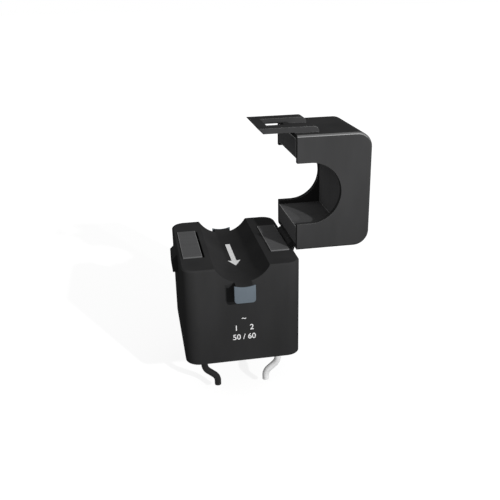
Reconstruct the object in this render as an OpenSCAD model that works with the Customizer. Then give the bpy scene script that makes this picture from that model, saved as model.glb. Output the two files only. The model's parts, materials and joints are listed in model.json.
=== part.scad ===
// Split-core current transformer, 16 mm window, lid hinged open on its stop.
// Millimetres. Origin: on the axis of the conductor window, at mid depth.
// +X is the hinge side, +Y runs along the conductor, +Z is up.

/* [View] */
// Node to show on its own, or "all"
// Angle of the lid from closed, 90 is open against its stop
lid_angle = 90; // [0:15:90]

/* [Base] */
// Width of the base across the conductor
base_w = 30.3; // [26:0.1:36]
// Depth of the base along the conductor
base_d = 37.4; // [32:0.2:44]
// Height of the base below the parting plane
base_h = 26.4; // [22:0.2:32]
// Radius of the base's four upright corners
base_r = 3.7; // [2:0.1:6]
// Thickness of the front and back walls
base_wall = 1.4; // [1:0.1:2.4]
// Thickness of the side walls beside the core
side_wall = 0.9; // [0.7:0.1:1.6]
// Thickness of the top deck around the poles
deck_t = 1.5; // [1:0.1:2.5]
// Chamfer round the edge of the deck
deck_chamfer = 0.4; // [0.1:0.1:1]
// Thickness of the plate that closes the bottom
cover_t = 1.2; // [0.8:0.1:2]

/* [Conductor window] */
// Diameter of the conductor window
window_d = 16; // [10:0.5:24]
// Height of the window's axis above the parting plane
window_rise = 3.9; // [2:0.1:6]
// Thickness of the trough's shell
trough_t = 1.2; // [0.8:0.1:2]

/* [Magnetic core] */
// Width of each core leg
leg_w = 5; // [3:0.1:8]
// Distance from the window's axis to a leg's inner face
leg_x = 9; // [8.6:0.1:12]
// Depth of the core stack
core_d = 19.8; // [12:0.2:26]
// How far the base poles stand proud of the deck
pole_proud = 0.28; // [0:0.01:0.6]
// Slot left beside the latch side's pole, towards the window
pole_slot = 0.6; // [0.2:0.1:1]
// Height of the base core from pole face to back
base_core_h = 21.8; // [18:0.1:26]

/* [Lid] */
// Width of the lid
lid_w = 30.2; // [26:0.2:36]
// Depth of the lid along the conductor
lid_d = 23; // [20:0.2:30]
// Height of the lid from rim to top
lid_h = 19.45; // [16:0.05:24]
// Radius of the lid's two upper corners
lid_r = 4; // [2:0.1:6]
// Fillet along the lid's front and back edges
lid_fillet = 0.7; // [0.3:0.1:1.2]
// Thickness of the front and back plates
plate_t = 1.5; // [1:0.1:2]
// Thickness of the lid's side and top walls
lid_wall = 0.85; // [0.7:0.05:1.6]
// Gap between the closed lid's rim and the deck
rim_gap = 0.3; // [0.1:0.05:0.6]

/* [Latch] */
// Width of the latch strap along the conductor
strap_w = 17; // [12:0.5:20]
// How far the latch strap stands out of the lid's wall
strap_t = 1.5; // [1:0.1:2]
// Reach of the strap below the parting plane
strap_drop = 9; // [7:0.1:11]
// Height of the strap's arms above the parting plane
strap_rise = 6.6; // [4:0.1:9]
// Width of the window between the strap's arms
slot_w = 8.8; // [8:0.2:12]
// Width of the cross bar that joins the arms
bar_w = 3; // [1.5:0.1:3.5]
// How far the catch stands out of the base's wall
catch_t = 1.4; // [0.8:0.1:1.8]
// Height of the catch
catch_h = 5; // [3:0.1:6]

/* [Hinge] */
// Distance of the hinge axis outside the base's side wall
pivot_out = 0.2; // [0.1:0.05:1]
// Height of the hinge axis above the parting plane
pivot_rise = 0.05; // [-0.5:0.05:0.5]
// Diameter of the hinge pin
pin_d = 0.8; // [0.6:0.1:2]
// Outer radius of the knuckles
knuckle_r = 0.85; // [0.7:0.05:2]
// Length of the hinge along its axis
hinge_l = 13; // [8:0.5:18]
// Length of the lid's middle knuckle
mid_l = 6; // [4:0.5:10]
// Reach of the stop heel from the hinge axis
heel = 1.4; // [1.2:0.05:2]

/* [Tie tabs] */
// Width of each tie tab's cap
tab_w = 5.4; // [4:0.1:7]
// Height of each cap, from the trough's floor down
tab_h = 4.25; // [3.6:0.05:6]
// How far each tie tab stands out of the base
tab_out = 3.2; // [1.8:0.1:4]
// Thickness of the cap on each tab's face
cap_t = 0.5; // [0.3:0.05:1]
// Radius of a tab's two lower corners
tab_r = 0.85; // [0.3:0.05:1.2]
// How much lower and wider the cap is than the neck that the tie lies on
neck_in = 1; // [0.5:0.1:1.5]

/* [Leads] */
// Outer diameter of the lead insulation
lead_d = 1.8; // [1:0.1:2.5]
// Diameter of the bare conductor
wire_d = 0.9; // [0.4:0.1:1.2]
// Distance of each lead from the middle where it leaves the base
lead_x = 10.1; // [8:0.1:12]
// Distance of each lead from mid depth, towards the front
lead_y = 12.3; // [11.8:0.1:14]
// Straight length of lead below the base before its bend
lead_drop = 3.9; // [2:0.1:8]
// Straight length at the cut end
lead_tail = 1.1; // [0.5:0.1:6]

/* [Hidden] */

$fn = 64;
play = 0.05;                           // running clearance round the pin
slack = 0.1;                           // clearance round pieces dropped into the housing
cut = 1;                               // how far a cutter runs past a face

window_r = window_d / 2;
deck_z = -window_rise;                 // the parting plane
floor_z = deck_z - base_h;             // the underside of the base
inner_x = base_w / 2 - side_wall;      // half width of the base's cavity
inner_y = base_d / 2 - base_wall;      // half depth of the base's cavity
cover_z = floor_z + cover_t;           // the cover's inner face

pole_z = deck_z + pole_proud;
core_back_z = pole_z - base_core_h;    // the underside of the base core
yoke_z = core_back_z + leg_w;          // the top of its yoke
core_x = leg_x + leg_w;                // half width of both cores

rim_z = deck_z + rim_gap;
top_z = rim_z + lid_h;
lid_in_x = lid_w / 2 - lid_wall;
lid_in_y = lid_d / 2 - plate_t;
lid_core_in_z = window_r + 0.15;       // the lid core's yoke clears the window
lid_core_top_z = lid_core_in_z + leg_w;

pivot_x = base_w / 2 + pivot_out;
pivot_z = deck_z + pivot_rise;
knuckle_gap = 0.1;
side_l = (hinge_l - mid_l) / 2 - knuckle_gap;
pin_l = hinge_l - 0.8;                 // the front lug is blind, the pin goes in from the back
stop_z = pivot_z - heel - 0.02;        // the ledge the open lid's heel rests on

strap_in_x = base_w / 2 + 0.08;        // the strap hangs clear of the base's wall
strap_out_x = lid_w / 2 + strap_t;
strap_z = deck_z - strap_drop;
slot_z = strap_z + bar_w;

bobbin_wall = 0.6;
flange_t = 0.8;
bobbin_l = 2 * leg_x - 0.4;
coil_t = 2.1;                          // build of the winding
tape_t = 0.2;
coil_z = (core_back_z + yoke_z) / 2;
tube_y = core_d + 2 * (slack + bobbin_wall);
tube_z = leg_w + 2 * (slack + bobbin_wall);

board_t = 1;
board_z = -14.8;
bend_r = 2.7;
lap = 0.04;                            // how far straight wire runs into a bend
bend_a = 50;
bend_l = 1.95;
resistor_d = 2.3;
diode_d = 2.7;

// ---- shared shapes ----

// Rectangle with rounded corners, made of squares and circles so its arcs stay true.
module round_rect(w, h, r) {
  square([w - 2 * r, h], center = true);
  square([w, h - 2 * r], center = true);
  for (x = [-1, 1], y = [-1, 1])
    translate([x * (w / 2 - r), y * (h / 2 - r)]) circle(r);
}

// Upright block with rounded corners and a chamfer round its top.
module chamfered_block(w, d, h, r, c) {
  for (side = [[w, d, 0], [d, w, 90]])
    rotate([90, 0, side[2]])
      linear_extrude(side[1] - 2 * r, center = true)
        polygon([
          [-side[0] / 2, 0], [side[0] / 2, 0], [side[0] / 2, h - c],
          [side[0] / 2 - c, h], [c - side[0] / 2, h], [-side[0] / 2, h - c]
        ]);
  for (x = [-1, 1], y = [-1, 1])
    translate([x * (w / 2 - r), y * (d / 2 - r), 0]) {
      cylinder(r = r, h = h - c);
      translate([0, 0, h - c]) cylinder(r1 = r, r2 = r - c, h = c);
    }
}

// Cylinder along the conductor, centred on the given point.
module along_y(r, l, x = 0, z = 0, y = 0) {
  translate([x, y, z]) rotate([90, 0, 0]) cylinder(r = r, h = l, center = true);
}

// Extrudes a drawing in X and Z along the conductor.
module slab_y(l, y = 0) {
  translate([0, y, 0]) rotate([90, 0, 0]) linear_extrude(l, center = true) children();
}

// Turns a piece drawn with the lid closed about the hinge axis.
module on_hinge() {
  translate([pivot_x, 0, pivot_z]) rotate([0, lid_angle, 0])
    translate([-pivot_x, 0, -pivot_z]) children();
}

// Outline of a core half, legs pointing up from its back, as drawn in X and Z.
module core_outline(h, back_r) {
  difference() {
    union() {
      translate([0, h - back_r]) translate([-core_x, back_r - h]) square([2 * core_x, h - back_r]);
      translate([back_r - core_x, 0]) square([2 * (core_x - back_r), h]);
      for (x = [-1, 1]) translate([x * (core_x - back_r), h - back_r]) circle(back_r);
    }
    translate([-leg_x, -cut]) square([2 * leg_x, h - leg_w + cut]);
  }
}

// ---- base ----

// The trough's shell and what it clears: a cylinder on the window's axis.
module base_shell() {
  difference() {
    union() {
      difference() {
        translate([0, 0, floor_z])
          chamfered_block(base_w, base_d, base_h, base_r, deck_chamfer);
        translate([0, 0, floor_z - cut])
          linear_extrude(base_h - deck_t + cut)
            round_rect(2 * inner_x, 2 * inner_y, base_r - side_wall);
      }
      intersection() {
        along_y(window_r + trough_t, base_d - base_wall);
        translate([-leg_x + pole_slot, -inner_y - slack, deck_z - window_r])
          cube([2 * (leg_x - pole_slot), 2 * (inner_y + slack), window_r - 0.2]);
      }
    }
    along_y(window_r, base_d + 2 * cut);
    for (pole = [[-core_x, pole_slot], [leg_x, slack]])
      translate([pole[0] - slack, -core_d / 2 - slack, deck_z - 2 * deck_t])
        cube([leg_w + slack + pole[1], core_d + 2 * slack, 4 * deck_t]);
  }
}

// Ribs on the front and back walls that guide the core's legs.
module leg_guides() {
  for (x = [-1, 1], y = [-1, 1])
    translate([x * (leg_x + leg_w / 2 + 0.7) - 0.5, y > 0 ? core_d / 2 + slack : -inner_y - slack, core_back_z])
      cube([1, inner_y - core_d / 2, base_core_h - deck_t]);
}

// Front of a tie tab in X and Z, its lower corners rounded.
module tab_outline(w, h) {
  translate([0, -window_r - h]) {
    translate([-w / 2, tab_r]) square([w, h - tab_r + 0.6]);
    translate([tab_r - w / 2, 0]) square([w - 2 * tab_r, 2 * tab_r]);
    for (x = [-1, 1]) translate([x * (w / 2 - tab_r), tab_r]) circle(tab_r);
  }
}

// Neck a cable tie is drawn round, its top flush with the trough.
module tie_tab() {
  depth = tab_out - cap_t;
  difference() {
    slab_y(depth + slack, -base_d / 2 - depth / 2 + slack / 2)
      tab_outline(tab_w - neck_in, tab_h - neck_in);
    along_y(window_r, base_d + 4 * tab_out);
  }
}

// Flange on the neck's end that keeps the tie on.
module tie_tab_cap() {
  difference() {
    slab_y(cap_t - 0.01, -base_d / 2 - tab_out + cap_t / 2) tab_outline(tab_w, tab_h);
    along_y(window_r, base_d + 4 * tab_out);
  }
}

// Catch that the window of the lid's strap snaps over.
module catch() {
  slab_y(slot_w - 0.6)
    polygon([
      [-base_w / 2 + slack, slot_z + 0.1], [-base_w / 2 - catch_t, slot_z + 0.1],
      [-base_w / 2 - catch_t, slot_z + 0.1 + catch_h - catch_t],
      [-base_w / 2, slot_z + 0.1 + catch_h], [-base_w / 2 + slack, slot_z + 0.1 + catch_h]
    ]);
}

// One of the two outer hinge lugs, with the rib that carries it.
module base_lug() {
  along_y(knuckle_r, side_l, pivot_x, pivot_z);
  slab_y(side_l)
    polygon([
      [base_w / 2 - slack, pivot_z], [pivot_x + knuckle_r, pivot_z],
      [pivot_x + knuckle_r, pivot_z - 0.9], [base_w / 2 - slack, pivot_z - 4.2]
    ]);
}

// Ledge under the middle knuckle: the open lid's heel comes to rest on it.
module stop_ledge() {
  slab_y(mid_l - 1)
    polygon([
      [base_w / 2 - slack, stop_z], [pivot_x + heel, stop_z],
      [pivot_x + heel, stop_z - 0.8], [base_w / 2 - slack, stop_z - 3]
    ]);
}

module base_housing() {
  color([0.1, 0.1, 0.1])
    difference() {
      union() {
        base_shell();
        leg_guides();
        tie_tab();
        rotate([0, 0, 180]) tie_tab();
        catch();
        for (y = [-1, 1]) translate([0, y * (hinge_l - side_l) / 2, 0]) base_lug();
        stop_ledge();
      }
      // room for the lid's knuckle, and the pin's holes
      along_y(knuckle_r + knuckle_gap, mid_l + 2 * knuckle_gap, pivot_x, pivot_z);
      along_y(pin_d / 2, pin_l + cut, pivot_x, pivot_z, (hinge_l - pin_l + cut) / 2);
    }
}

module tie_tab_cap_front() {
  color([0.38, 0.42, 0.45]) tie_tab_cap();
}

module tie_tab_cap_back() {
  color([0.38, 0.42, 0.45]) rotate([0, 0, 180]) tie_tab_cap();
}

// Plate set into the base's underside, with a hole for each lead.
module bottom_cover() {
  color([0.1, 0.1, 0.1])
    difference() {
      translate([0, 0, floor_z])
        linear_extrude(cover_t)
          round_rect(2 * inner_x - slack, 2 * inner_y - slack, base_r - side_wall);
      for (x = [-1, 1])
        translate([x * lead_x, -lead_y, floor_z - cut]) cylinder(d = lead_d + 0.04, h = cover_t + 2 * cut);
    }
}

// U core with its poles up, free to float on the two pads under its legs.
module base_core() {
  color([0.45, 0.45, 0.46])
    slab_y(core_d)
      translate([0, pole_z]) mirror([0, 1]) core_outline(base_core_h, 1);
}

module core_pad(side) {
  pad = [leg_w - 0.6, core_d - 3, core_back_z - cover_z];
  color([0.16, 0.16, 0.17])
    translate([side * (leg_x + leg_w / 2), 0, cover_z + pad[2] / 2]) cube(pad, center = true);
}

module core_pad_left() { core_pad(-1); }

module core_pad_right() { core_pad(1); }

// Stands a drawing in Y and Z across the coil's axis.
module across_coil(l, x = 0) {
  translate([x, 0, coil_z]) rotate([90, 0, 90]) linear_extrude(l, center = true) children();
}

// Square tube round the yoke with two flanges and four posts for the board.
module bobbin() {
  flange = [tube_y + 2 * (coil_t + tape_t) + 0.6, tube_z + 2 * (coil_t + tape_t) + 0.6];
  color([0.2, 0.2, 0.21])
    difference() {
      union() {
        across_coil(bobbin_l) round_rect(tube_y, tube_z, 0.6);
        for (x = [-1, 1])
          across_coil(flange_t, x * (bobbin_l - flange_t) / 2) round_rect(flange[0], flange[1], 1.2);
        for (x = [-1, 1], y = [-1, 1])
          translate([x * (bobbin_l - flange_t) / 2 - flange_t / 2, y * 8 - 1, coil_z + flange[1] / 2 - slack])
            cube([flange_t, 2, board_z - coil_z - flange[1] / 2 + slack]);
      }
      across_coil(bobbin_l + 2 * cut) square([core_d + 2 * slack, leg_w + 2 * slack], center = true);
    }
}

// Copper ring between the flanges, with its two ends led up to the board.
module winding() {
  l = bobbin_l - 2 * flange_t - 0.04;
  color([0.72, 0.42, 0.2]) {
    difference() {
      across_coil(l) round_rect(tube_y + 2 * coil_t, tube_z + 2 * coil_t, coil_t + 0.4);
      across_coil(l + 2 * cut) round_rect(tube_y + 0.04, tube_z + 0.04, 0.6);
    }
    for (x = [-1, 1])
      translate([x * 4, 9.5, coil_z + tube_z / 2 + coil_t / 2])
        cylinder(d = 0.4, h = board_z - coil_z - tube_z / 2 - coil_t / 2 + board_t);
  }
}

module winding_tape() {
  l = bobbin_l - 2 * flange_t - 0.1;
  color([0.75, 0.62, 0.2])
    difference() {
      across_coil(l) round_rect(tube_y + 2 * (coil_t + tape_t), tube_z + 2 * (coil_t + tape_t), coil_t + 0.5);
      across_coil(l + 2 * cut) round_rect(tube_y + 2 * coil_t + 0.04, tube_z + 2 * coil_t + 0.04, coil_t + 0.4);
      for (x = [-1, 1]) translate([x * 4, 9.5, coil_z]) cylinder(d = 0.6, h = tube_z);
    }
}

// T-shaped board: narrow between the legs, wide in front of them for the leads.
module circuit_board() {
  color([0.05, 0.3, 0.16])
    difference() {
      union() {
        translate([-leg_x + 0.6, -inner_y + 0.6, board_z]) cube([2 * leg_x - 1.2, inner_y + 11.6, board_t]);
        translate([-10.9, -inner_y + 0.6, board_z]) cube([21.8, inner_y - core_d / 2 - 1.2, board_t]);
      }
      for (x = [-1, 1]) {
        translate([x * lead_x, -lead_y, board_z - cut]) cylinder(d = wire_d + 0.1, h = board_t + 2 * cut);
        translate([x * 4, 9.5, board_z - cut]) cylinder(d = 0.5, h = board_t + 2 * cut);
      }
    }
}

// Body on two bent leads, lying on the board along X.
module axial_part(d, l, span, y) {
  seat_z = board_z + board_t + 0.02;
  translate([0, y, seat_z + d / 2]) rotate([0, 90, 0]) cylinder(d = d, h = l, center = true);
  for (x = [-1, 1]) {
    translate([x * (l + span) / 4, y, seat_z + d / 2])
      rotate([0, 90, 0]) cylinder(d = 0.5, h = (span - l) / 2 + 0.5, center = true);
    translate([x * span / 2, y, seat_z]) cylinder(d = 0.5, h = d / 2 + 0.25);
  }
}

module burden_resistor() {
  color([0.35, 0.55, 0.65]) axial_part(resistor_d, 6.3, 11, -4);
}

module surge_diode() {
  color([0.12, 0.12, 0.12]) axial_part(diode_d, 5, 10, 3);
}

module solder_joint(side) {
  color([0.7, 0.7, 0.72])
    translate([side * lead_x, -lead_y, board_z + board_t + 0.01]) cylinder(r1 = 0.9, r2 = 0.35, h = 0.9);
}

module solder_joint_black() { solder_joint(-1); }

module solder_joint_white() { solder_joint(1); }

// ---- leads ----

// A quarter or part turn of round wire, starting downwards and bending towards +X.
module bend(d, a) {
  translate([bend_r, 0, 0]) rotate([-90, 0, 0]) rotate([0, 0, 180])
    rotate([0, 0, -a]) rotate_extrude(angle = a) translate([bend_r, 0]) circle(d = d);
}

// Straight round wire, a hair thinner than the bends it laps into.
module straight(d, l) {
  translate([0, 0, -lap]) cylinder(d = d - 0.02, h = l + 2 * lap);
}

// Lead from height z down to its cut end, drawn for the left side, bending to the middle.
module lead(d, z, tail) {
  start_z = floor_z - lead_drop;
  step_x = bend_r * (1 - cos(bend_a));
  step_z = bend_r * sin(bend_a);
  translate([-lead_x, -lead_y, start_z]) {
    straight(d, z - start_z);
    bend(d, bend_a);
    translate([step_x, 0, -step_z]) rotate([0, 180 - bend_a, 0]) straight(d, bend_l);
    translate([2 * step_x + bend_l * sin(bend_a), 0, -2 * step_z - bend_l * cos(bend_a)]) {
      rotate([0, 180, 0]) bend(d, bend_a);
      translate([0, 0, -tail]) straight(d, tail);
    }
  }
}

module lead_insulation() {
  difference() {
    lead(lead_d, board_z - 1.5, lead_tail);
    lead(wire_d + 0.04, board_z, lead_tail + cut);
  }
}

module lead_conductor() {
  lead(wire_d, board_z + board_t - 2 * lap, lead_tail);
}

module black_lead_insulation() {
  color([0.06, 0.06, 0.06]) lead_insulation();
}

module black_lead_conductor() {
  color([0.72, 0.42, 0.2]) lead_conductor();
}

module white_lead_insulation() {
  color([0.9, 0.9, 0.9]) mirror([1, 0, 0]) lead_insulation();
}

module white_lead_conductor() {
  color([0.72, 0.42, 0.2]) mirror([1, 0, 0]) lead_conductor();
}

module hinge_pin() {
  color([0.7, 0.7, 0.72]) along_y(pin_d / 2 - 0.01, pin_l, pivot_x, pivot_z, (hinge_l - pin_l) / 2);
}

// ---- lid, drawn closed ----

// Profile of the lid's wall from its outer face inwards, with both outer edges filleted.
module lid_profile(depth_in) {
  translate([-depth_in, -lid_d / 2]) square([depth_in - lid_fillet, lid_d]);
  translate([-depth_in, lid_fillet - lid_d / 2]) square([depth_in, lid_d - 2 * lid_fillet]);
  for (y = [-1, 1]) translate([-lid_fillet, y * (lid_d / 2 - lid_fillet)]) circle(lid_fillet);
}

// The lid's outer body: its wall profile run up one side, round the top and down the other.
module lid_body() {
  straight_h = lid_h - lid_r;
  corner_z = top_z - lid_r;
  for (side = [0, 180]) rotate([0, 0, side]) {
    translate([lid_w / 2, 0, rim_z]) linear_extrude(straight_h) lid_profile(lid_w / 2);
    translate([lid_w / 2 - lid_r, 0, corner_z])
      rotate([90, 0, 0]) rotate_extrude(angle = 90)
        translate([lid_r, 0]) lid_profile(lid_r);
  }
  translate([lid_r - lid_w / 2, 0, top_z]) rotate([90, 0, 90])
    linear_extrude(lid_w - 2 * lid_r) rotate([0, 0, 90]) lid_profile(lid_r + 0.5);
}

// Room for the core, open at the rim.
module lid_cavity() {
  in_r = lid_r - lid_wall;
  slab_y(2 * lid_in_y) {
    translate([-lid_in_x, rim_z - cut]) square([2 * lid_in_x, lid_h - lid_wall - in_r + cut]);
    translate([in_r - lid_in_x, rim_z]) square([2 * (lid_in_x - in_r), lid_h - lid_wall]);
    for (x = [-1, 1]) translate([x * (lid_in_x - in_r), top_z - lid_wall - in_r]) circle(in_r);
  }
}

// The conductor's way through the front and back plates.
module window_cut() {
  slab_y(lid_d + 2 * cut) {
    circle(window_r);
    translate([-window_r, rim_z - cut]) square([2 * window_r, -rim_z + cut]);
  }
}

// Two arms and a bevelled cross bar; the window between them snaps over the base's catch.
module latch_strap() {
  bevel = strap_out_x - strap_in_x;
  end_r = 1.3;
  end_z = deck_z + strap_rise;
  difference() {
    slab_y(strap_w) {
      polygon([
        [-lid_w / 2 + slack, rim_z], [-strap_in_x, rim_z], [-strap_in_x, strap_z + bevel],
        [-strap_out_x, strap_z], [-strap_out_x, end_z - end_r],
        [-strap_out_x + end_r, end_z - end_r], [-strap_out_x + end_r, end_z],
        [-lid_w / 2 + slack, end_z]
      ]);
      translate([-strap_out_x + end_r, end_z - end_r]) circle(end_r);
    }
    translate([-strap_out_x - cut, -slot_w / 2, slot_z])
      cube([strap_t + cut, slot_w, end_z - slot_z + cut]);
  }
}

// Middle knuckle, its web up the wall, and the heel that stops the lid at 90 degrees.
module lid_knuckle() {
  along_y(knuckle_r, mid_l, pivot_x, pivot_z);
  slab_y(mid_l)
    polygon([
      [lid_w / 2 - slack, rim_z + 0.05], [pivot_x, pivot_z], [pivot_x + heel, pivot_z],
      [pivot_x + heel, pivot_z + 1.2], [lid_w / 2 - slack, pivot_z + 4]
    ]);
}

module lid_housing() {
  color([0.1, 0.1, 0.1])
    on_hinge()
      difference() {
        union() {
          lid_body();
          latch_strap();
          lid_knuckle();
        }
        lid_cavity();
        window_cut();
        along_y(pin_d / 2 + play, hinge_l + 2 * cut, pivot_x, pivot_z);
        for (y = [-1, 1])
          along_y(
            knuckle_r + knuckle_gap, side_l + 2 * knuckle_gap, pivot_x, pivot_z,
            y * (hinge_l - side_l) / 2
          );
      }
}

module lid_core() {
  color([0.45, 0.45, 0.46])
    on_hinge()
      slab_y(core_d)
        translate([0, rim_z]) core_outline(lid_core_top_z - rim_z, 2.6);
}

// Bowed leaf between the core's back and the lid's top.
module lid_spring() {
  space = top_z - lid_wall - lid_core_top_z - 0.04;
  leaf_t = 0.3;
  half_l = 9;
  bow_r = (half_l * half_l + pow(space - leaf_t, 2)) / (2 * (space - leaf_t));
  color([0.75, 0.6, 0.3])
    on_hinge()
      intersection() {
        difference() {
          along_y(bow_r + leaf_t, 12, 0, lid_core_top_z + 0.02 + space - bow_r - leaf_t);
          along_y(bow_r, 14, 0, lid_core_top_z + 0.02 + space - bow_r - leaf_t);
        }
        translate([-half_l, -7, lid_core_top_z + 0.02]) cube([2 * half_l, 14, space]);
      }
}

// ---- what to show ----

base_housing();
tie_tab_cap_front();
tie_tab_cap_back();
bottom_cover();
base_core();
core_pad_left();
core_pad_right();
bobbin();
winding();
winding_tape();
circuit_board();
burden_resistor();
surge_diode();
solder_joint_black();
solder_joint_white();
black_lead_insulation();
black_lead_conductor();
white_lead_insulation();
white_lead_conductor();
hinge_pin();
lid_housing();
lid_core();
lid_spring();
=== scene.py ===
"""Looks of a split-core current transformer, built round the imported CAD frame.

Lengths are in metres, and MM is one millimetre. The hinge is on the +X side. The camera looks
along +Y, a little to the right and down.
"""

import json
import math

import bmesh
import bpy
from mathutils import Matrix, Quaternion, Vector


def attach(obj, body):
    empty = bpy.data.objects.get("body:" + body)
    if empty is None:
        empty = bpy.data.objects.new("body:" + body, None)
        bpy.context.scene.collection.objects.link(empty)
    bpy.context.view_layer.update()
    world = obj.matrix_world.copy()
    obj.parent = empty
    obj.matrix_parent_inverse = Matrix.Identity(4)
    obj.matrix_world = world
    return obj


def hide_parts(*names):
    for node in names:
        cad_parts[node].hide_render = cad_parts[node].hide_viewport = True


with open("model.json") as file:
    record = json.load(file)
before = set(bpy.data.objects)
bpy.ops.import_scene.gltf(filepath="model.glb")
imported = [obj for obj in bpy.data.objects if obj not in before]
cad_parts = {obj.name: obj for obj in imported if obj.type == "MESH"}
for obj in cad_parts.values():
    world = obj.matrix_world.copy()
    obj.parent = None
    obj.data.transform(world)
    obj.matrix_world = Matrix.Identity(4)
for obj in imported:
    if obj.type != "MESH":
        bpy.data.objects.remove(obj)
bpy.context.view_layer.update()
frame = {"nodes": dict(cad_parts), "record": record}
scene = bpy.context.scene
nodes = frame["nodes"]
MM = 0.001


# ---- camera ----

CAMERA_AT = Vector((-0.02355, -0.16913, 0.06108))
YAW, PITCH, ROLL = (math.radians(angle) for angle in (9.63, 21.64, -1.28))
SENSOR_WIDTH = 36.0  # Blender wants this and the focal length in millimetres
FOCAL_LENGTH = 48.12


def aimed(name, data, towards, roll=0.0):
    """Adds a camera or a lamp that faces a direction."""
    made = bpy.data.objects.new(name, data)
    made.rotation_mode = "QUATERNION"
    made.rotation_quaternion = towards.to_track_quat("-Z", "Y") @ Quaternion((0, 0, 1), roll)
    scene.collection.objects.link(made)
    return made


def add_camera():
    """The only camera, turned right by YAW, down by PITCH and about its own axis by ROLL."""
    data = bpy.data.cameras.new("camera")
    data.sensor_width = SENSOR_WIDTH
    data.lens = FOCAL_LENGTH
    data.clip_start = 5 * MM
    level = math.cos(PITCH)
    look = Vector((math.sin(YAW) * level, math.cos(YAW) * level, -math.sin(PITCH)))
    camera = aimed("camera", data, look, ROLL)
    camera.location = CAMERA_AT
    scene.camera = camera


add_camera()


# ---- materials ----

MIX_DARK, MIX_LIGHT, MIX_RESULT = 6, 7, 2  # the colour sockets of a Mix node
NOISE_MIDDLE = (0.3, 0.7)  # where nearly all of a noise's values lie
NOISE_ROUGHNESS = 0.55


class Shader:
    """A node material: a Principled surface and short calls that wire textures to it."""

    def __init__(self, name, color, roughness, **inputs):
        """Other inputs are named after their sockets, with _ for a space."""
        self.material = bpy.data.materials.new(name)
        self.material.use_nodes = True
        self.tree = self.material.node_tree
        self.surface = self.tree.nodes["Principled BSDF"]
        self.coords = self.tree.nodes.new("ShaderNodeTexCoord").outputs["Object"]
        self.last_bump = None
        self.set("Base Color", (*color, 1))
        self.set("Roughness", roughness)
        for key, value in inputs.items():
            self.set(key.replace("_", " "), value)

    def set(self, key, value):
        self.surface.inputs[key].default_value = value

    def link(self, key, value):
        self.tree.links.new(value, self.surface.inputs[key])

    def node(self, kind, inputs, **settings):
        """A new node. Inputs that are sockets are linked, and the others are set."""
        made = self.tree.nodes.new("ShaderNode" + kind)
        for key, value in settings.items():
            setattr(made, key, value)
        for key, value in inputs.items():
            if isinstance(value, bpy.types.NodeSocket):
                self.tree.links.new(value, made.inputs[key])
            else:
                made.inputs[key].default_value = value
        return made

    def calculate(self, operation, *values):
        return self.node("Math", dict(enumerate(values)), operation=operation).outputs[0]

    def noise(self, scale, detail, stretch=(1, 1, 1)):
        """Noise with about that many cells to the metre, times stretch along each axis."""
        mapped = self.node("Mapping", {"Vector": self.coords, "Scale": stretch}).outputs[0]
        inputs = {"Vector": mapped, "Scale": scale, "Detail": detail, "Roughness": NOISE_ROUGHNESS}
        return self.node("TexNoise", inputs).outputs["Fac"]

    def sheets(self, pitch):
        """A stack of sheets along Y: a random level for each sheet, and the distance from its
        middle, from 0 there to 0.5 at the seams."""
        along = self.node("SeparateXYZ", {0: self.coords}).outputs["Y"]
        place = self.calculate("DIVIDE", along, pitch)
        whole = self.calculate("FLOOR", place)
        level = self.node("TexWhiteNoise", {"W": whole}, noise_dimensions="1D").outputs["Value"]
        off_middle = self.calculate("SUBTRACT", self.calculate("FRACT", place), 0.5)
        return level, self.calculate("ABSOLUTE", off_middle)

    def remap(self, value, low, high, start=0.0, end=1.0):
        """Takes start to end onto low to high, and holds it there outside them."""
        inputs = {"From Min": start, "From Max": end, "To Min": low, "To Max": high}
        return self.node("MapRange", {"Value": value, **inputs}).outputs["Result"]

    def tint(self, value, dark, light):
        """Base colour between two colours by value."""
        made = self.node("Mix", {"Factor": value}, data_type="RGBA")
        made.inputs[MIX_DARK].default_value = (*dark, 1)
        made.inputs[MIX_LIGHT].default_value = (*light, 1)
        self.link("Base Color", made.outputs[MIX_RESULT])

    def vary_roughness(self, noise, low, high):
        self.link("Roughness", self.remap(noise, low, high, *NOISE_MIDDLE))

    def bump(self, value, depth, strength=1.0):
        """Adds a bump of that depth in metres on top of those before it."""
        inputs = {"Height": value, "Distance": depth, "Strength": strength}
        if self.last_bump:
            inputs["Normal"] = self.last_bump
        self.last_bump = self.node("Bump", inputs).outputs[0]
        self.link("Normal", self.last_bump)


def scaled(color, factor):
    return tuple(part * factor for part in color)


def moulded_plastic(name, color, roughness, grain=0.012 * MM, specular=0.0):
    """Moulded plastic: spark-eroded grain, faint flow marks and a rubbed sheen."""
    made = Shader(name, color, roughness, Specular_IOR_Level=specular)
    flow = made.noise(scale=90, detail=4, stretch=(1, 1, 0.35))
    streaks = made.remap(flow, 0, 1, start=0.35, end=0.65)
    made.tint(streaks, dark=scaled(color, 0.9), light=scaled(color, 1.12))
    rubbed = made.noise(scale=260, detail=5)
    made.vary_roughness(rubbed, roughness - 0.04, roughness + 0.05)
    made.bump(made.noise(scale=5200, detail=2), grain)
    made.bump(made.noise(scale=420, detail=2), grain * 0.8)
    return made.material


def core_steel(name, color, specular=0.0):
    """Ground end faces of a stack of thin core sheets, with dark seams between them."""
    made = Shader(name, color, roughness=0.42, Specular_IOR_Level=specular)
    level, off_middle = made.sheets(pitch=0.35 * MM)
    sheet = made.remap(off_middle, 1, 0, start=0.40, end=0.49)
    shade = made.calculate("MULTIPLY", made.remap(level, 0.75, 1.0), sheet)
    made.tint(shade, dark=scaled(color, 0.62), light=color)
    grind = made.noise(scale=900, detail=3, stretch=(0.12, 6, 1))
    made.vary_roughness(grind, 0.34, 0.5)
    made.bump(sheet, 0.012 * MM, strength=0.6)
    made.bump(grind, 0.004 * MM)
    return made.material


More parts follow.
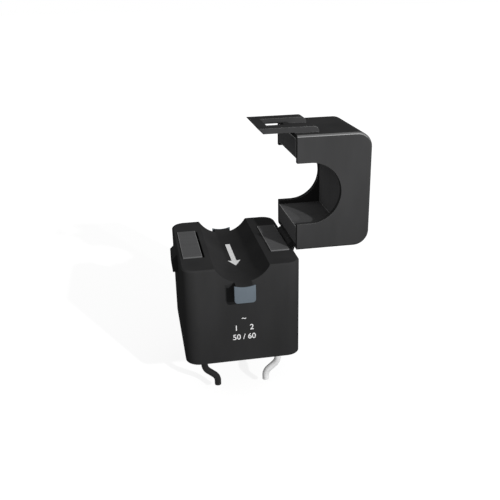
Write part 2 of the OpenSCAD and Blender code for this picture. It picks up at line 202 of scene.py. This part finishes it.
def wire_jacket(name, color, roughness):
    """Extruded wire insulation: faint lengthways drag lines and handling marks."""
    made = Shader(name, color, roughness, Specular_IOR_Level=0.04)
    drag = made.noise(scale=2600, detail=2, stretch=(1, 1, 0.08))
    handled = made.noise(scale=420, detail=4)
    marks = made.remap(handled, 0, 1, *NOISE_MIDDLE)
    made.tint(marks, dark=scaled(color, 0.92), light=scaled(color, 1.04))
    made.vary_roughness(drag, roughness - 0.05, roughness + 0.08)
    made.bump(drag, 0.012 * MM, strength=0.5)
    return made.material


def bright_metal(name, color, roughness, stretch=(1, 1, 1)):
    """Drawn, rolled or soldered metal with fine scratches."""
    made = Shader(name, color, roughness, Metallic=1.0)
    scratch = made.noise(scale=1500, detail=3, stretch=stretch)
    made.vary_roughness(scratch, roughness - 0.08, roughness + 0.1)
    worn = made.remap(scratch, 0, 1, *NOISE_MIDDLE)
    made.tint(worn, dark=scaled(color, 0.85), light=color)
    made.bump(scratch, 0.004 * MM, strength=0.5)
    return made.material


def board_mask(name, color, bare, over_track):
    """Solder mask: one green over bare board and a lighter one over faint copper tracks."""
    made = Shader(name, color, roughness=0.3)
    tracks = made.noise(scale=420, detail=1, stretch=(1, 2.5, 1))
    made.tint(made.remap(tracks, 0, 1, start=0.48, end=0.52), dark=bare, light=over_track)
    made.bump(tracks, 0.02 * MM, strength=0.4)
    return made.material


def print_ink(name, color):
    """Pad-printed ink, slightly uneven."""
    made = Shader(name, color, roughness=0.5)
    worn = made.noise(scale=1900, detail=4)
    made.tint(made.remap(worn, 0, 1, start=0.3, end=0.6), dark=scaled(color, 0.9), light=color)
    made.bump(worn, 0.004 * MM)
    return made.material


BLACK = (0.031, 0.031, 0.0315)
STEEL = (0.098, 0.098, 0.1)
OFF_WHITE = (0.86, 0.86, 0.86)
BOARD_GREEN = (0.02, 0.16, 0.07)
LENGTHWAYS = (1, 0.05, 1)  # scratches along Y, as the pin is drawn
materials = {
    "black_plastic": moulded_plastic("black_plastic", BLACK, 0.5),
    "grey_plastic": moulded_plastic("grey_plastic", (0.125, 0.15, 0.175), 0.4, grain=0.006 * MM),
    "core_steel": core_steel("core_steel", STEEL),
    "bobbin_plastic": moulded_plastic("bobbin_plastic", (0.03, 0.03, 0.032), 0.5),
    "copper": bright_metal("copper", (0.78, 0.36, 0.2), 0.3),
    "tape": moulded_plastic("tape", (0.75, 0.58, 0.1), 0.3, grain=0.004 * MM),
    "board": board_mask("board", BOARD_GREEN, (0.012, 0.11, 0.045), (0.03, 0.2, 0.09)),
    "resistor_body": moulded_plastic("resistor_body", (0.2, 0.42, 0.55), 0.35),
    "diode_body": moulded_plastic("diode_body", (0.02, 0.02, 0.02), 0.4),
    "solder": bright_metal("solder", (0.75, 0.75, 0.77), 0.22),
    "pad_rubber": moulded_plastic("pad_rubber", (0.03, 0.03, 0.03), 0.7),
    "pin_steel": bright_metal("pin_steel", (0.52, 0.52, 0.54), 0.3, LENGTHWAYS),
    "spring_bronze": bright_metal("spring_bronze", (0.6, 0.42, 0.2), 0.3),
    "black_pvc": wire_jacket("black_pvc", (0.024, 0.024, 0.024), 0.42),
    "white_pvc": wire_jacket("white_pvc", OFF_WHITE, 0.4),
}
burnished = {
    "black_plastic": moulded_plastic(
        "black_plastic_edge", BLACK, 0.45, grain=0.002 * MM, specular=0.85
    ),
    "core_steel": core_steel("core_steel_edge", STEEL, specular=0.4),
}
ink = print_ink("print_ink", OFF_WHITE)

for row in frame["record"]["subparts"]:
    shown = nodes[row["node"]]
    shown.data.materials.clear()
    shown.data.materials.append(materials[row["material_slot"]])


# ---- mouldings, cores and caps: the CAD solids with their edges broken ----

EDGE = 0.12 * MM
EDGE_SEGMENTS = 2
SHARP = math.radians(28)  # edges that turn more than this are rounded
FLAT = math.radians(0.4)  # faces that turn less than this become one
MERGE = 1e-6  # corners nearer than this become one
FILLET_STRIP = 0.3 * MM  # a fillet's facets are narrower than this
TURNED = 0.25  # a facet faces a way if its unit normal goes at least this far that way
FACE_WEIGHT = 80  # how far large faces outweigh small ones in the shading normals


def add(name, mesh, material, body):
    """Links a mesh as a piece that rides on a body."""
    piece = bpy.data.objects.new(name, mesh)
    mesh.materials.append(material)
    scene.collection.objects.link(piece)
    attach(piece, body)
    return piece


def on_handled_fillet(face):
    """True on a narrow facet that faces up, and to the front or the back."""
    strip = face.calc_area() < FILLET_STRIP * max(edge.calc_length() for edge in face.edges)
    return strip and face.normal.z > TURNED and abs(face.normal.y) > TURNED


def round_edges(mesh, shine):
    """Rounds a mesh's sharp edges. Material 1 goes to what shine names."""
    made = bmesh.new()
    made.from_mesh(mesh)
    bmesh.ops.remove_doubles(made, verts=made.verts, dist=MERGE)
    bmesh.ops.dissolve_limit(made, angle_limit=FLAT, verts=made.verts, edges=made.edges)
    shared = [edge for edge in made.edges if len(edge.link_faces) == 2]
    bmesh.ops.bevel(
        made,
        geom=[edge for edge in shared if edge.calc_face_angle(0) > SHARP],
        offset=EDGE,
        offset_type="OFFSET",
        segments=EDGE_SEGMENTS,
        profile=0.5,
        affect="EDGES",
        clamp_overlap=True,
        harden_normals=False,
        material=1 if shine == "edges" else 0,
    )
    bmesh.ops.remove_doubles(made, verts=made.verts, dist=MERGE)
    if shine == "fillets":
        for face in filter(on_handled_fillet, made.faces):
            face.material_index = 1
    bmesh.ops.triangulate(made, faces=made.faces)
    for face in made.faces:
        face.smooth = True
    made.to_mesh(mesh)
    made.free()
    if "custom_normal" in mesh.attributes:
        mesh.attributes.remove(mesh.attributes["custom_normal"])


def broken_edges(node, name, body, slot, shine=None):
    """A copy of a CAD node with its sharp edges rounded by EDGE, standing for it.

    Handling burnishes the fillets beside the latch, or all the rounded edges: shine says
    which, as "fillets" or "edges".
    """
    mesh = nodes[node].data.copy()
    mesh.materials.clear()
    round_edges(mesh, shine)
    piece = add(name, mesh, materials[slot], body)
    if shine:
        mesh.materials.append(burnished[slot])
    weighted = piece.modifiers.new("normals", "WEIGHTED_NORMAL")
    weighted.keep_sharp = False
    weighted.weight = FACE_WEIGHT
    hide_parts(node)


broken_edges("base_housing", "base_moulding", "base", "black_plastic")
broken_edges("lid_housing", "lid_moulding", "lid", "black_plastic", "fillets")
broken_edges("base_core", "base_core_stack", "base", "core_steel", "edges")
broken_edges("lid_core", "lid_core_stack", "lid", "core_steel", "edges")
for side in ("front", "back"):
    broken_edges("tie_tab_cap_" + side, "tie_cap_" + side, "base", "grey_plastic")


# ---- printing ----

mounts = {row["name"]: row for row in frame["record"]["mounts"]}
TROUGH_R = mounts["conductor_window"]["dims"]["r_mm"] * MM
FRONT_Y = -18.7 * MM  # the base's front wall
INK_T = 0.03 * MM
FIGURE_HEIGHT = 1.5 * MM
CAPITAL = 0.7  # a capital's height in the built-in font, for a size of 1
BOLDER = 0.015 * MM


def arrow():
    """The printed flow arrow, wrapped onto the trough's floor: a shaft and a pointed head."""
    half_w, barb_w = 0.65 * MM, 1.7 * MM
    tail_y, neck_y, barb_y, tip_y = (y * MM for y in (8.3, -4.8, -4.3, -7.5))
    shaft_steps, head_steps, across = 12, 8, 8
    shaft, head = [], []
    for i in range(shaft_steps + 1):
        shaft.append((tail_y + (neck_y - tail_y) * i / shaft_steps, half_w))
    for i in range(head_steps + 1):
        part = i / head_steps
        head.append((barb_y + (tip_y - barb_y) * part, barb_w * (1 - part)))
    made = bmesh.new()
    for outline in (shaft, head):
        grid = []
        for y, half in outline:
            xs = [half * (2 * j / across - 1) for j in range(across + 1)]
            ring = [(x, y, -math.sqrt((TROUGH_R - INK_T) ** 2 - x * x)) for x in xs]
            grid.append([made.verts.new(place) for place in ring])
        for a, b in zip(grid, grid[1:]):
            for j in range(across):
                made.faces.new((a[j], a[j + 1], b[j + 1], b[j]))
    bmesh.ops.remove_doubles(made, verts=made.verts, dist=MERGE)
    mesh = bpy.data.meshes.new("flow_arrow")
    made.to_mesh(mesh)
    made.free()
    piece = add("flow_arrow", mesh, ink, "base")
    film = piece.modifiers.new("film", "SOLIDIFY")
    film.thickness = 0.8 * INK_T
    film.offset = 1.0


def figures(name, text, z):
    """Plain figures printed on the base's front, centred, with their foot at height z."""
    drawn = bpy.data.curves.new(name, "FONT")
    drawn.body = text
    drawn.align_x = "CENTER"
    drawn.size = FIGURE_HEIGHT / CAPITAL
    drawn.offset = BOLDER
    drawn.extrude = INK_T / 2
    source = bpy.data.objects.new(name, drawn)
    scene.collection.objects.link(source)
    depsgraph = bpy.context.evaluated_depsgraph_get()
    mesh = bpy.data.meshes.new_from_object(source.evaluated_get(depsgraph))
    bpy.data.objects.remove(source)
    upright = Matrix.Rotation(math.pi / 2, 4, "X")
    mesh.transform(Matrix.Translation((0, FRONT_Y - INK_T / 2, z)) @ upright)
    add(name, mesh, ink, "base")


arrow()
figures("mark_mains", "~", -18.6 * MM)
figures("mark_leads", "1     2", -21.4 * MM)
figures("mark_hertz", "50 / 60", -24.0 * MM)


# ---- stage ----

WHITE = (1, 1, 1, 1)
SKY = 0.45
FLOOR_Z = -43 * MM
FLOOR_X, FLOOR_Y = (-2, 2), (-1, 3)
FLOOR_COLOR = (0.3, 0.3, 0.3, 1)
FLOOR_GLOW = 0.84  # with the light that falls on the floor, this comes to white


def seen_directly(tree):
    """Socket that is 1 for the rays that show a background: camera, glossy and transmission."""
    path = tree.nodes.new("ShaderNodeLightPath")
    value = path.outputs["Is Camera Ray"]
    for kind in ("Is Glossy Ray", "Is Transmission Ray"):
        either = tree.nodes.new("ShaderNodeMath")
        either.operation = "MAXIMUM"
        tree.links.new(value, either.inputs[0])
        tree.links.new(path.outputs[kind], either.inputs[1])
        value = either.outputs[0]
    return value


def show(tree, plain, direct, output):
    """Gives an output the direct shader for the rays seen directly, and the plain one else."""
    mix = tree.nodes.new("ShaderNodeMixShader")
    for i, socket in enumerate((seen_directly(tree), plain, direct)):
        tree.links.new(socket, mix.inputs[i])
    tree.links.new(mix.outputs[0], tree.nodes[output].inputs["Surface"])


def add_world():
    """An even grey sky, seen as white."""
    world = bpy.data.worlds.new("studio")
    scene.world = world
    world.use_nodes = True
    tree = world.node_tree
    sky = tree.nodes["Background"]
    sky.inputs["Color"].default_value = WHITE
    sky.inputs["Strength"].default_value = SKY
    white = tree.nodes.new("ShaderNodeBackground")
    white.inputs["Color"].default_value = WHITE
    show(tree, sky.outputs[0], white.outputs[0], "World Output")


def pale_floor():
    """A matte grey that throws little light up, and glows to white where it is seen."""
    made = bpy.data.materials.new("pale_floor")
    made.use_nodes = True
    tree = made.node_tree
    tree.nodes.remove(tree.nodes["Principled BSDF"])
    matte = tree.nodes.new("ShaderNodeBsdfDiffuse")
    matte.inputs["Color"].default_value = FLOOR_COLOR
    glow = tree.nodes.new("ShaderNodeEmission")
    glow.inputs["Strength"].default_value = FLOOR_GLOW
    lit = tree.nodes.new("ShaderNodeAddShader")
    tree.links.new(matte.outputs[0], lit.inputs[0])
    tree.links.new(glow.outputs[0], lit.inputs[1])
    show(tree, matte.outputs[0], lit.outputs[0], "Material Output")
    return made


def add_floor():
    left, right = FLOOR_X
    near, far = FLOOR_Y
    corners = [(left, near), (right, near), (right, far), (left, far)]
    mesh = bpy.data.meshes.new("floor")
    mesh.from_pydata([(x, y, FLOOR_Z) for x, y in corners], [], [(0, 1, 2, 3)])
    mesh.materials.append(pale_floor())
    floor = bpy.data.objects.new("floor", mesh)
    scene.collection.objects.link(floor)


def add_key():
    """The sun, from the front, the right and above, with nearly sharp shadows."""
    data = bpy.data.lights.new("key", "SUN")
    data.energy = 2.2
    data.angle = math.radians(2)
    aimed("key", data, Vector((-0.42, 0.80, -0.42)))


def add_fill():
    """A level spot from the front and the right. It aims above the lid, so that its soft edge
    lights the lid and fades down the base."""
    data = bpy.data.lights.new("fill", "SPOT")
    data.energy = 3.9
    data.spot_size = math.radians(35)
    data.spot_blend = 1.0
    data.shadow_soft_size = 4 * MM
    towards = Vector((-0.46, 0.87, 0.0)).normalized()
    above_lid = Vector((0.018, -0.01, 0.06))
    distance = 0.3
    aimed("fill", data, towards).location = above_lid - distance * towards


add_world()
add_floor()
add_key()
add_fill()
scene.view_settings.view_transform = "Standard"
